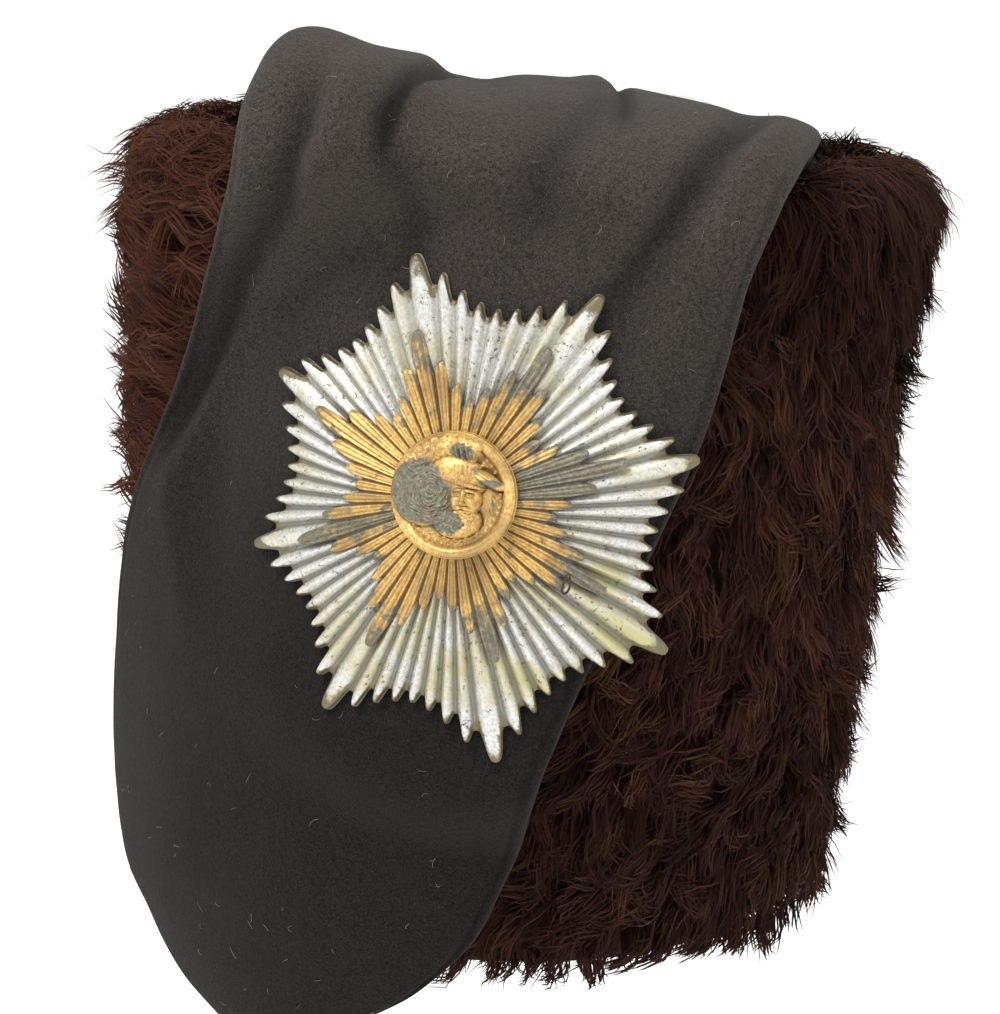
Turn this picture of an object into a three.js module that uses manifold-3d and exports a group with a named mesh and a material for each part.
// A tall military fur hat: an oval crown under long-pile fur, with a cloth bag that comes out of the
// top, folds over the front rim and hangs past the lower rim, and a three-part star pinned on the bag.
// Millimetres. +Z up, the front faces -Y, +X is the viewer's right. The origin is the centre of the
// crown's lower opening, where the hat sits on a head.
import * as THREE from "three";
import { mergeVertices } from "three/addons/utils/BufferGeometryUtils.js";
import Module from "manifold-3d";

const wasm = await Module();
wasm.setup();

// Driving dimensions: the crown
const HEAD_HALF_WIDTH = 87;       // half the lower opening across, inside the wall
const OVAL_EXTRA = 11;            // every oval is this much longer each way from front to back
const CROWN_WALL = 3;
const CROWN_HEIGHT = 216;
const FLARE = 0.0945;             // how far the wall leans out for each millimetre of height
const CROWN_SIDES = 48;

// The fur
const FUR_DEPTH = 22;             // from the crown's wall to the tips
const FUR_TOP = 237;
const LOCK_RISE = 7;              // how far the locks stand above their backing
const LOWEST_LOCK = -5;
const FUR_SIDES = 32;
const LOCK_ROWS = 6;
const LOCKS_PER_ROW = 12;
const RING_LOCKS = 12;            // locks on the ring that is turned over the top edge

// The bag
const CLOTH = 1.6;                // thickness of one layer of felted wool
const BAG_STATIONS = 25;
const SEAT_GAP = 0.3;             // clearance that touching pieces keep
const FACET_GAP = 0.3;            // extra, because flat facets cut the corners of a round wall
const PRESS_GAP = 0.5;            // clearance of the fur that the bag presses back

// The star
const RAYS = 64;
const STAR_RADIUS = 67.8;
const STAR_BEND = 112;            // radius to which the plate is bent round the hat
const STAR_PLATE = 0.9;
const STAR_RIB = 1.5;             // height of a ray above the groove beside it
const STAR_DOME = 2.0;            // how far the middle of the plate stands above its edge
const GILT_RADIUS = 45.6;
const GILT_PLATE = 0.9;
const GILT_RIB = 1.1;
const MEDALLION_RADIUS = 17.2;
const MEDALLION_PLATE = 2.4;
const RING_RADIUS = 15.4;         // centre line of the medallion's raised ring
const RING_WIRE = 1.5;

// Where the star sits on the bag, and which way it faces
const STAR = { x: -13.9, y: -155.5, z: 146.9, turn: -14.6, lean: 6, roll: 15.4 };
const GILT_SHIFT = { u: 0.4, v: 2.5 };
const GILT_TURN = 3.7;             // degrees that the gilt star is turned past the plate under it
const MEDALLION_SHIFT = { u: 1.2, v: 4.2 };

// The bag's cross-sections from its mouth to its tip. left and right are the two side edges; bow moves
// the middle of the section off the straight line between them; lift carries the outer layer one way
// and the under layer the other (y, z); thick is half the thickness of the flat bag; round is the part
// of the width over which each edge is rounded.
const BAG_COLUMNS = ["lx", "ly", "lz", "rx", "ry", "rz", "bx", "by", "bz", "liftY", "liftZ", "thick", "round"];
const BAG_ROWS = [
  [-105.4, 0, 202, 105.4, 0, 202, 0, 0, 0, 116.4, 0, 0, 0.5],           // mouth
  [-106.3, 0, 221, 106.3, 0, 221, 0, 0, 0, 117.3, 0, 0, 0.5],           // collar
  [-104, -8, 231, 104, -8, 230, 0, 4, 10, 112, 1.5, 0, 0.5],            // lift-off
  [-97, -34, 235, 98, -30, 232, 0, 3.5, 12, 93, 4, 0, 0.47],            // back
  [-88, -64, 242, 92, -53, 236, 0, -4, 11, 63, 4.7, 0, 0.4],            // top
  [-81, -92, 249, 86, -81, 240, 0, -14, 8, 30, 5, 0, 0.28],             // brow
  [-77, -114, 253, 80, -104, 243, 0, -21, 1.5, 7.5, 5, 0, 0.16],        // rim
  [-76, -132, 243, 74, -129, 240, 0, -18, -2, -1.5, 2.5, 1.6, 0.09],    // over the rim
  [-78, -139, 228, 67, -145, 229, 0, -13, -4, 0, 0, 3.6, 0.05],         // shoulder
  [-86, -124, 202, 58, -150, 203, -6, -18, -2, 0, 0, 3.3, 0.04],        // breast
  [-98, -100, 164, 51, -150, 169, -7, -25, -1, 0, 0, 3.1, 0.035],       // upper
  [-111, -70, 125, 40, -150, 135, -9, -29, 0, 0, 0, 3.1, 0.035],        // middle
  [-116, -50, 89, 27, -150, 103, -13, -31, 0, 0, 0, 3.1, 0.035],        // waist
  [-117, -40, 47, 15.6, -148, 66, -16, -28, 0, 0, 0, 3.1, 0.035],       // lower
  [-112, -46, 11, 6, -145, 38, -15, -23, 0, 0, 0, 3.1, 0.04],           // hem
  [-103, -55, -6, -2, -142, 19, -12, -18, 0, 0, 0, 3.0, 0.05],          // calf
  [-91, -70, -20, -17, -135, 1, -7, -11, -1, 0, 0, 2.9, 0.07],          // toe
  [-76, -86, -29, -36, -126, -14, -3, -5, -2, 0, 0, 2.8, 0.15],         // end
  [-65, -99, -33, -50, -114, -28, 0, 0, 0, 0, 0, 2.6, 0.4],             // tip
];

const OVER_THE_RIM = 7;            // the row from which the bag hangs free

// Folds of the outer layer: each runs from (s0, row0) to (s1, row1), where s goes from the left edge
// to the right edge and row counts the sections above. height is positive for a ridge and negative
// for a valley, width is its half-width in s, fade is how many rows its ends take to die away, and
// sharp is 2 for a round section or 4 for a flat top with steep sides.
const FOLD_COLUMNS = ["s0", "row0", "s1", "row1", "width", "height", "fade", "sharp"];
const FOLDS = [
  [0.13, 4.0, 0.12, 6.8, 0.19, 12, 1.2, 4],     // the tall roll on the left of the top
  [0.15, 6.9, 0.09, 9.8, 0.06, 4.5, 1.5, 2],    // the ridge that runs on from it down the front
  [0.36, 3.4, 0.29, 6.3, 0.035, -4, 0.6, 2],    // the deep crease on the roll's right
  [0.29, 6.3, 0.41, 8.8, 0.04, -5, 0.9, 2],     // which bends back and dies away down the front
  [0.06, 7.6, 0.04, 9.5, 0.05, -2.5, 0.8, 2],   // the valley between the ridge and the left edge
  [0.63, 3.2, 0.64, 5.6, 0.03, -2.5, 0.8, 2],   // the small step right of the middle
  [0.86, 7.2, 0.75, 9.4, 0.06, -3.2, 1.0, 2],   // the long valley from the right corner
  [0.94, 7.4, 0.88, 9.4, 0.05, 2.0, 1.0, 2],    // the soft ridge beside it
  [0.52, 6.2, 0.56, 7.9, 0.06, -2.0, 0.8, 2],   // the shallow valley in the middle of the top
  [0.60, 12.9, 0.34, 14.2, 0.16, -1.8, 0.9, 2], // the soft wave low on the bag
  [0.46, 12.2, 0.62, 13.2, 0.12, 1.5, 0.9, 2],  // and the wave above it
];

// Lengths of the rays of one eighth of each star, from one point to the next
const STAR_SECTOR = [1.0, 0.92, 0.85, 0.80, 0.785, 0.80, 0.84, 0.90];
const GILT_SECTOR = [1.0, 0.80, 0.70, 0.62, 0.58, 0.62, 0.70, 0.80];

const COLOURS = { crown: 0x2a211c, fur: 0x3c231b, cloth: 0x403c39, silver: 0xc9cac4, gold: 0xb98a3a };

// A repeatable random number from 0 to 1 for a whole-number seed
function noise(seed) {
  const x = Math.sin(seed * 127.1 + 11.7) * 43758.5453;
  return x - Math.floor(x);
}

function material(colour, roughness, metalness = 0) {
  return new THREE.MeshStandardMaterial({ color: colour, roughness, metalness });
}

// A point on the oval of half-width rho at height z; angle 0 is the front and +90 degrees the right
function ovalPoint(rho, angle, z) {
  return new THREE.Vector3(rho * Math.sin(angle), -(rho + OVAL_EXTRA) * Math.cos(angle), z);
}

const wallInside = (z) => HEAD_HALF_WIDTH + FLARE * z;
const furOutside = (z) => HEAD_HALF_WIDTH + CROWN_WALL + FUR_DEPTH + FLARE * z;

// A mesh geometry from a list of points and of triangles
function geometryOf(points, triangles) {
  const geometry = new THREE.BufferGeometry();
  geometry.setAttribute("position", new THREE.Float32BufferAttribute(points.flatMap((p) => [p.x, p.y, p.z]), 3));
  geometry.setIndex(triangles.flat());
  return geometry;
}

// Triangles between consecutive closed loops of `count` points each, laid one after another
function loopWalls(loops, count, first = 0, flip = false) {
  const triangles = [];
  for (let i = 0; i < loops - 1; i++) {
    for (let k = 0; k < count; k++) {
      const a = first + i * count + k;
      const b = first + i * count + ((k + 1) % count);
      const c = a + count;
      const d = b + count;
      triangles.push(flip ? [a, c, b] : [a, b, c], flip ? [b, c, d] : [b, d, c]);
    }
  }
  return triangles;
}

// A fan that closes one loop onto a middle point
function fan(middle, first, count, flip = false) {
  return Array.from({ length: count }, (_, k) => {
    const a = first + k;
    const b = first + ((k + 1) % count);
    return flip ? [middle, b, a] : [middle, a, b];
  });
}

function toManifold(geometry) {
  const bare = geometry.clone();
  bare.deleteAttribute("normal");
  bare.deleteAttribute("uv");
  const merged = mergeVertices(bare, 1e-4);
  return new wasm.Manifold(new wasm.Mesh({
    numProp: 3,
    vertProperties: new Float32Array(merged.attributes.position.array),
    triVerts: new Uint32Array(merged.index.array),
  }));
}

function fromManifold(solid) {
  const mesh = solid.getMesh();
  const geometry = new THREE.BufferGeometry();
  geometry.setAttribute("position", new THREE.BufferAttribute(new Float32Array(mesh.vertProperties), 3));
  geometry.setIndex(new THREE.BufferAttribute(new Uint32Array(mesh.triVerts), 1));
  return geometry;
}

// A closed ring whose section is the polygon `profile` of [rho, z] pairs, anticlockwise when rho
// points right and z up, carried round the oval
function ovalRing(profile, sides) {
  const points = [];
  for (const [rho, z] of profile) {
    for (let k = 0; k < sides; k++) points.push(ovalPoint(rho, (2 * Math.PI * k) / sides, z));
  }
  const triangles = loopWalls(profile.length, sides);
  const last = (profile.length - 1) * sides;
  for (let k = 0; k < sides; k++) {
    const next = (k + 1) % sides;
    triangles.push([last + k, last + next, k], [last + next, next, k]);
  }
  return geometryOf(points, triangles);
}

function makeCrown() {
  const inside = wallInside(0);
  const insideTop = wallInside(CROWN_HEIGHT);
  return ovalRing([
    [inside, 0],
    [inside + CROWN_WALL, 0],
    [insideTop + CROWN_WALL, CROWN_HEIGHT],
    [insideTop, CROWN_HEIGHT],
  ], CROWN_SIDES);
}

// One row of a table as an object, at any place between rows, by a smooth curve through the rows
function tableAt(rows, columns, place) {
  const i = Math.min(Math.max(Math.floor(place), 0), rows.length - 2);
  const t = place - i;
  const row = (k) => rows[Math.min(Math.max(k, 0), rows.length - 1)];
  const values = columns.map((_, c) => {
    const [p0, p1, p2, p3] = [row(i - 1)[c], row(i)[c], row(i + 1)[c], row(i + 2)[c]];
    const m1 = (p2 - p0) / 2;
    const m2 = (p3 - p1) / 2;
    const t2 = t * t;
    const t3 = t2 * t;
    return (2 * t3 - 3 * t2 + 1) * p1 + (t3 - 2 * t2 + t) * m1 + (3 * t2 - 2 * t3) * p2 + (t3 - t2) * m2;
  });
  return Object.fromEntries(columns.map((name, c) => [name, values[c]]));
}

// The middle surface between the bag's two layers
function bagMiddle(s, row) {
  const r = tableAt(BAG_ROWS, BAG_COLUMNS, row);
  const bow = 4 * s * (1 - s);
  return new THREE.Vector3(
    r.lx + (r.rx - r.lx) * s + r.bx * bow,
    r.ly + (r.ry - r.ly) * s + r.by * bow,
    r.lz + (r.rz - r.lz) * s + r.bz * bow,
  );
}

// Its normal, which points to the outer layer
function bagNormal(s, row) {
  const ds = 0.01;
  const dr = 0.05;
  const across = bagMiddle(s + ds, row).sub(bagMiddle(s - ds, row));
  const along = bagMiddle(s, Math.min(row + dr, BAG_ROWS.length - 1)).sub(bagMiddle(s, Math.max(row - dr, 0)));
  return along.cross(across).normalize();
}

// Height of all the folds at a place on the bag
function foldHeight(s, row) {
  let height = 0;
  for (const values of FOLDS) {
    const f = Object.fromEntries(FOLD_COLUMNS.map((name, c) => [name, values[c]]));
    const t = Math.min(Math.max((row - f.row0) / (f.row1 - f.row0), 0), 1);
    const beyond = Math.max(f.row0 - row, row - f.row1, 0) / f.fade;
    const aside = Math.abs(s - f.s0 - (f.s1 - f.s0) * t) / f.width;
    height += f.height * Math.exp(-(aside ** f.sharp) - beyond * beyond);
  }
  return height;
}

// The star's own axes: u to its right, v up its middle, n straight out of its face
function starAxes() {
  const turn = THREE.MathUtils.degToRad(STAR.turn);
  const lean = THREE.MathUtils.degToRad(STAR.lean);
  const n = new THREE.Vector3(Math.sin(turn) * Math.cos(lean), -Math.cos(turn) * Math.cos(lean), Math.sin(lean));
  const u = new THREE.Vector3(Math.cos(turn), Math.sin(turn), 0);
  return { n, u, v: new THREE.Vector3().crossVectors(n, u), centre: new THREE.Vector3(STAR.x, STAR.y, STAR.z) };
}
const AXES = starAxes();

// Wraps flat star coordinates (u, v, height) round the bend
function bendStar(u, v, height) {
  const angle = u / STAR_BEND;
  const out = (STAR_BEND + height) * Math.cos(angle) - STAR_BEND;
  return AXES.centre.clone()
    .addScaledVector(AXES.u, (STAR_BEND + height) * Math.sin(angle))
    .addScaledVector(AXES.v, v)
    .addScaledVector(AXES.n, out);
}

// Lays cloth that lies under the star on the back of the bent plate
function pressUnderStar(point, below) {
  const from = point.clone().sub(AXES.centre);
  const u = from.dot(AXES.u);
  const v = from.dot(AXES.v);
  const away = Math.hypot(u, v);
  const hold = 1 - THREE.MathUtils.smoothstep(away, STAR_RADIUS * 1.1, STAR_RADIUS * 1.5);
  if (hold === 0) return point;
  const target = Math.sqrt(STAR_BEND * STAR_BEND - u * u) - STAR_BEND - below;
  return point.clone().addScaledVector(AXES.n, hold * (target - from.dot(AXES.n)));
}

// A point of the bag's outside skin: side is +1 on the outer layer and -1 on the under layer
function bagSkin(s, row, side) {
  const r = tableAt(BAG_ROWS, BAG_COLUMNS, row);
  const inward = Math.min(Math.min(s, 1 - s) / Math.max(r.round, 0.02), 1);
  const edge = Math.sqrt(Math.max(1 - (1 - inward) ** 2, 0));
  const normal = bagNormal(s, row);
  const point = bagMiddle(s, row).addScaledVector(normal, side * edge * r.thick);
  point.y += side * edge * r.liftY;
  point.z += side * edge * r.liftZ;
  const fold = foldHeight(s, row) * Math.sqrt(edge);
  if (side > 0 || fold < 0) point.addScaledVector(normal, fold);
  const hung = THREE.MathUtils.clamp(row - OVER_THE_RIM, 0, 1);
  const below = SEAT_GAP + FACET_GAP + (side > 0 ? 0 : 2 * r.thick) + (1 - edge) * r.thick * side;
  return point.lerp(pressUnderStar(point, below), hung);
}

// Places across the bag, closer together at its rounded edges
const ACROSS = [0, 0.0096, 0.035, 0.09, 0.15, 0.21, 0.28, 0.33, 0.37, 0.45, 0.54, 0.64, 0.74, 0.85, 0.965, 0.9904,
  1];

// All the loops of the outside skin, each running along the outer layer and back along the under one
function bagLoops() {
  const rows = Array.from({ length: BAG_STATIONS }, (_, i) => (i / (BAG_STATIONS - 1)) * (BAG_ROWS.length - 1));
  return rows.map((row) => [
    ...ACROSS.map((s) => bagSkin(s, row, 1)),
    ...ACROSS.slice(1, -1).reverse().map((s) => bagSkin(s, row, -1)),
  ]);
}

// Outward normals of a skin of closed loops
function loopNormals(loops) {
  const count = loops[0].length;
  return loops.map((loop, i) => loop.map((_, k) => {
    const before = loops[Math.max(i - 1, 0)][k];
    const after = loops[Math.min(i + 1, loops.length - 1)][k];
    const along = after.clone().sub(before);
    const across = loop[(k + 1) % count].clone().sub(loop[(k + count - 1) % count]);
    return along.cross(across).normalize();
  }));
}

function offsetLoops(loops, normals, distance) {
  return loops.map((loop, i) => loop.map((p, k) => p.clone().addScaledVector(normals[i][k], distance)));
}

function middleOf(loop) {
  return loop.reduce((sum, p) => sum.add(p), new THREE.Vector3()).divideScalar(loop.length);
}

// The bag as a hollow wall: outside skin, inside skin, a rim at the mouth and a closed tip
function makeBag(loops, normals) {
  const count = loops[0].length;
  const inner = offsetLoops(loops, normals, -CLOTH).slice(0, -2);
  const outerPoints = loops.flat();
  const innerPoints = inner.flat();
  const points = [...outerPoints, ...innerPoints, middleOf(loops.at(-1)), middleOf(inner.at(-1))];
  const innerFirst = outerPoints.length;
  const tip = points.length - 2;
  const triangles = [
    ...loopWalls(loops.length, count, 0, true),
    ...loopWalls(inner.length, count, innerFirst, false),
    ...fan(tip, innerFirst - count, count, true),
    ...fan(tip + 1, tip - count, count, false),
  ];
  for (let k = 0; k < count; k++) {
    const next = (k + 1) % count;
    triangles.push([k, next, innerFirst + k], [next, innerFirst + next, innerFirst + k]);
  }
  return geometryOf(points, triangles);
}

// The bag's outside, closed and grown by a distance
function bagRoom(loops, normals, distance) {
  const count = loops[0].length;
  const grown = offsetLoops(loops, normals, distance);
  const points = [...grown.flat(), middleOf(grown.at(-1)), middleOf(grown[0])];
  const tip = points.length - 2;
  return geometryOf(points, [
    ...loopWalls(grown.length, count, 0, true),
    ...fan(tip, tip - count, count, true),
    ...fan(tip + 1, 0, count, false),
  ]);
}

// One lock of fur: a curved, pointed horn of four-sided section from root to tip
function lockGeometry(root, out, lay, length, width, height) {
  const side = new THREE.Vector3().crossVectors(out, lay).normalize();
  const steps = [[-0.12, -6, 0.75], [0.3, 0.55 * height, 1], [0.72, height, 0.62]];
  const points = [];
  for (const [along, rise, wide] of steps) {
    const centre = root.clone().addScaledVector(lay, along * length).addScaledVector(out, rise);
    const half = (width / 2) * wide;
    const thick = Math.max(height * 0.55 * wide, 1.5);
    points.push(
      centre.clone().addScaledVector(side, half).addScaledVector(out, -thick * 0.6),
      centre.clone().addScaledVector(out, thick),
      centre.clone().addScaledVector(side, -half).addScaledVector(out, -thick * 0.6),
      centre.clone().addScaledVector(out, -thick * 1.6),
    );
  }
  points.push(root.clone().addScaledVector(lay, length).addScaledVector(out, height * 0.85));
  points.push(middleOf(points.slice(0, 4)));
  return geometryOf(points, [...loopWalls(3, 4), ...fan(12, 8, 4), ...fan(13, 0, 4, true)]);
}

// The way the locks lie at a place on the wall: level and to the left on the left side of the
// front, down and to the right on the right side
function wallLay(angle, seed) {
  const tangent = new THREE.Vector3(Math.cos(angle), Math.sin(angle), 0);
  const leftSide = 0.5 - 0.5 * Math.sin(angle);
  const level = -leftSide + 0.35 * (1 - leftSide) + 0.5 * (noise(seed) - 0.5);
  const drop = -0.25 - 0.75 * (1 - leftSide) + 0.5 * (noise(seed + 0.3) - 0.5);
  return tangent.multiplyScalar(level).add(new THREE.Vector3(0, 0, drop)).normalize();
}

function wallLocks() {
  const locks = [];
  for (let row = 0; row < LOCK_ROWS; row++) {
    for (let k = 0; k < LOCKS_PER_ROW; k++) {
      const seed = row * 31 + k;
      const turn = (k + (row % 2) / 2 + 0.5 * (noise(seed + 0.7) - 0.5)) / LOCKS_PER_ROW;
      const angle = 2 * Math.PI * turn;
      const z = 26 + ((FUR_TOP - 50) * (row + 0.4 * noise(seed + 0.5))) / (LOCK_ROWS - 0.6);
      const root = ovalPoint(furOutside(z) - LOCK_RISE, angle, z);
      const out = new THREE.Vector3(Math.sin(angle), -Math.cos(angle), 0);
      const lay = wallLay(angle, seed);
      const room = (z - LOWEST_LOCK) / Math.max(-lay.z, 0.1);
      locks.push(lockGeometry(root, out, lay, Math.min(48 + 12 * noise(seed + 0.9), room), 30, LOCK_RISE));
    }
  }
  return locks;
}

function ringLocks() {
  return Array.from({ length: RING_LOCKS }, (_, k) => {
    const angle = (2 * Math.PI * (k + 0.4 * noise(k + 0.1))) / RING_LOCKS;
    const root = ovalPoint(furOutside(FUR_TOP) - 17, angle, FUR_TOP - 7);
    const around = new THREE.Vector3(Math.cos(angle), Math.sin(angle), 0);
    const outward = new THREE.Vector3(Math.sin(angle), -Math.cos(angle), 0);
    const lay = around.multiplyScalar(noise(k + 0.6) - 0.3).addScaledVector(outward, 0.4).normalize();
    return lockGeometry(root, new THREE.Vector3(0, 0, 1), lay, 24, 20, LOCK_RISE);
  });
}

// The fur: a backing round the crown and over its top edge, with locks fused to it, pressed back
// where the bag lies on it
function makeFur(room) {
  const wall = (z) => wallInside(z) + CROWN_WALL + SEAT_GAP + FACET_GAP;
  const body = (z) => furOutside(z) - LOCK_RISE;
  const profile = [
    [wall(0), 0],
    [body(0) - 7, 0],
    [body(8), 8],
    [body(FUR_TOP / 2), FUR_TOP / 2],
    [body(FUR_TOP - 30), FUR_TOP - 30],
    [body(FUR_TOP - 14) - 4, FUR_TOP - 14],
    [body(FUR_TOP - 7) - 11, FUR_TOP - 6],
    [wallInside(FUR_TOP) - 1, FUR_TOP - 6],
    [wallInside(CROWN_HEIGHT) - 2.5, CROWN_HEIGHT + SEAT_GAP],
    [wall(CROWN_HEIGHT), CROWN_HEIGHT + SEAT_GAP],
  ];
  const backing = toManifold(ovalRing(profile, FUR_SIDES));
  const locks = [...wallLocks(), ...ringLocks()].map(toManifold);
  const fused = wasm.Manifold.union([backing, ...locks]);
  const pressed = fused.subtract(toManifold(room));
  const pieces = pressed.decompose().sort((a, b) => b.volume() - a.volume());
  return fromManifold(pieces[0]);
}

// Triangles between a ring of `many` points and the ring of `few` inside it, many a multiple of few
function stitch(outer, many, inner, few, flip = false) {
  const each = many / few;
  const triangles = [];
  for (let k = 0; k < many; k++) {
    const nearest = inner + (Math.round(k / each) % few);
    const following = inner + (Math.round((k + 1) / each) % few);
    triangles.push([outer + k, outer + ((k + 1) % many), nearest]);
    if (nearest !== following) triangles.push([outer + ((k + 1) % many), following, nearest]);
  }
  return flip ? triangles.map(([i, j, k]) => [i, k, j]) : triangles;
}

// A star plate: a ridge along each ray with a groove at each side, over a smooth back. fronts and
// backs list the rings of points from the outline to the middle, as [part of the ray, points, ridge].
function starGeometry({ radius, sector, plate, rib, floor, shift, turn, notch, fronts, backs }) {
  const corners = RAYS * 2;
  const points = [];
  const triangles = [];
  const reach = (k) => {
    const ray = (i) => radius * sector[((i + RAYS) % RAYS) % sector.length];
    return k % 2 === 0 ? ray(k / 2) : notch * Math.min(ray((k - 1) / 2), ray((k + 1) / 2));
  };
  const roll = THREE.MathUtils.degToRad(90 + STAR.roll + turn);
  const place = (k, part, height) => {
    const angle = roll + (Math.PI * k) / RAYS;
    const r = part * reach(k);
    const [u, v] = [shift.u + r * Math.cos(angle), shift.v + r * Math.sin(angle)];
    return bendStar(u, v, floor(r) + height);
  };
  const face = (rings, thickness, flip) => {
    let outer = points.length;
    rings.forEach(([part, count, ridge], i) => {
      const first = points.length;
      const step = corners / count;
      for (let k = 0; k < corners; k += step) {
        const crest = k % 2 === 0 || step > 2 ? rib * ridge : 0;
        points.push(place(k, part, thickness + crest));
      }
      if (i > 0) triangles.push(...stitch(outer, rings[i - 1][1], first, count, flip));
      outer = first;
    });
    points.push(place(0, 0, thickness + rib * rings.at(-1)[2]));
    triangles.push(...fan(points.length - 1, outer, rings.at(-1)[1], flip));
  };
  face(fronts, plate, false);
  const backFirst = points.length;
  face(backs, 0, true);
  for (let k = 0; k < corners; k++) {
    const next = (k + 1) % corners;
    triangles.push([k, backFirst + k, backFirst + next], [k, backFirst + next, next]);
  }
  return geometryOf(points, triangles);
}

const starFloor = (r) => STAR_DOME * Math.max(1 - r / STAR_RADIUS, 0);
const giltFloor = (r) => starFloor(r) + STAR_PLATE + STAR_RIB + SEAT_GAP + FACET_GAP;

function makeStarPlate() {
  return starGeometry({
    radius: STAR_RADIUS, sector: STAR_SECTOR, plate: STAR_PLATE, rib: STAR_RIB, floor: starFloor,
    shift: { u: 0, v: 0 }, turn: 0, notch: 0.93,
    fronts: [[1, 128, 0.3], [0.93, 128, 1], [0.62, 128, 1], [0.31, 32, 0.6]],
    backs: [[1, 128, 0], [0.67, 32, 0], [0.33, 32, 0]],
  });
}

function makeGiltStar() {
  return starGeometry({
    radius: GILT_RADIUS, sector: GILT_SECTOR, plate: GILT_PLATE, rib: GILT_RIB, floor: giltFloor,
    shift: GILT_SHIFT, turn: GILT_TURN, notch: 0.9,
    fronts: [[1, 128, 0.5], [0.5, 128, 1]],
    backs: [[1, 128, 0], [0.55, 32, 0]],
  });
}

// A ball squeezed to three half-sizes at a place over the medallion's back, flatter below its middle
function reliefBall(u, v, height, halfU, halfV, halfHeight, tilt = 0) {
  const ball = new THREE.SphereGeometry(1, 8, 6);
  ball.rotateX(Math.PI / 2);
  const position = ball.attributes.position;
  for (let i = 0; i < position.count; i++) {
    const z = position.getZ(i);
    position.setZ(i, z < 0 ? (z * MEDALLION_PLATE) / 2 : z * halfHeight);
  }
  ball.scale(halfU, halfV, 1);
  ball.rotateZ(THREE.MathUtils.degToRad(tilt));
  ball.translate(u, v, height);
  return ball;
}

// The medallion lies flat, square to the star's face, over the gilt star's middle
function makeMedallion() {
  const top = MEDALLION_PLATE;
  const disc = new THREE.CylinderGeometry(MEDALLION_RADIUS - 0.5, MEDALLION_RADIUS, top, 32);
  disc.rotateX(Math.PI / 2);
  disc.translate(0, 0, top / 2);
  const ring = new THREE.TorusGeometry(RING_RADIUS, RING_WIRE, 6, 32);
  ring.translate(0, 0, top);
  const head = [
    reliefBall(0.2, -0.6, top, 5.4, 7.2, 3.4),          // the face
    reliefBall(-1.0, 3.6, top, 7.2, 5.6, 3.8, 8),       // the helmet's bowl
    reliefBall(-1.2, 9.6, top, 5.2, 2.1, 2.6, 6),       // its fluted comb
    reliefBall(6.4, 2.6, top, 4.4, 1.3, 1.7, -14),      // its peak
    reliefBall(0.6, -1.8, top + 2.6, 1.0, 2.0, 1.9),    // the nose
    reliefBall(-0.6, -6.6, top, 5.8, 4.4, 2.8),         // the beard
    reliefBall(-5.8, -1.6, top, 2.8, 4.6, 2.6),         // the curls at the side
  ];
  const lift = giltFloor(0) + GILT_PLATE + GILT_RIB + SEAT_GAP;
  const solid = fromManifold(wasm.Manifold.union([disc, ring, ...head].map(toManifold)));
  const frame = new THREE.Matrix4().makeBasis(AXES.u, AXES.v, AXES.n);
  const { u, v } = MEDALLION_SHIFT;
  frame.setPosition(bendStar(u, v, lift));
  return solid.applyMatrix4(frame);
}

function named(name, geometry, finish) {
  const mesh = new THREE.Mesh(geometry, finish);
  mesh.name = name;
  return mesh;
}

const loops = bagLoops();
const normals = loopNormals(loops);
const hat = new THREE.Group();
hat.add(
  named("crown", makeCrown(), material(COLOURS.crown, 0.9)),
  named("fur_cover", makeFur(bagRoom(loops, normals, PRESS_GAP)), material(COLOURS.fur, 0.95)),
  named("bag", makeBag(loops, normals), material(COLOURS.cloth, 0.95)),
  named("star_plate", makeStarPlate(), material(COLOURS.silver, 0.45, 0.8)),
  named("gilt_star", makeGiltStar(), material(COLOURS.gold, 0.4, 0.9)),
  named("medallion", makeMedallion(), material(COLOURS.gold, 0.4, 0.9)),
);

export default hat;
